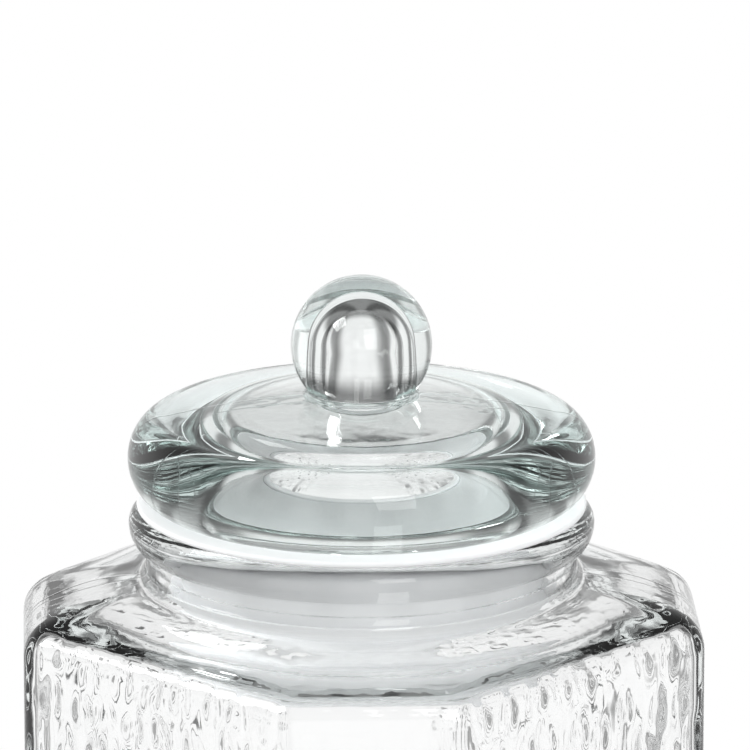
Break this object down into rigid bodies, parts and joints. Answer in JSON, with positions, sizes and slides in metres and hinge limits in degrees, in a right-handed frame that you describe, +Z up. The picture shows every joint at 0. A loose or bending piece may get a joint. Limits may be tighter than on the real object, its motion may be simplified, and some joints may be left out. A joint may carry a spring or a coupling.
{
  "type": "glass storage jar",
  "caption": "Clear glass storage jar with a chamfered-square hammered body, a round neck with a rolled bead, and a ball-knob glass lid that plugs in with a finned silicone gasket.",
  "frame": {"origin": "centre of the base, on the surface the jar stands on", "axes": "+Z up along the axis of the neck, lid and knob; +X and +Y square to two neighbouring hammered faces, so the chamfers face the diagonals"},
  "size_m": [0.19, 0.19, 0.2987],
  "materials": {
    "jar_glass": "clear soda-lime glass, hammered on the four faces, smooth elsewhere",
    "lid_glass": "clear pressed soda-lime glass, fire-polished",
    "silicone": "translucent white silicone, fine satin surface"
  },
  "bodies": {
    "root": {"jar": "jar_glass", "lid": "lid_glass", "gasket": "silicone"}
  },
  "joints": []
}
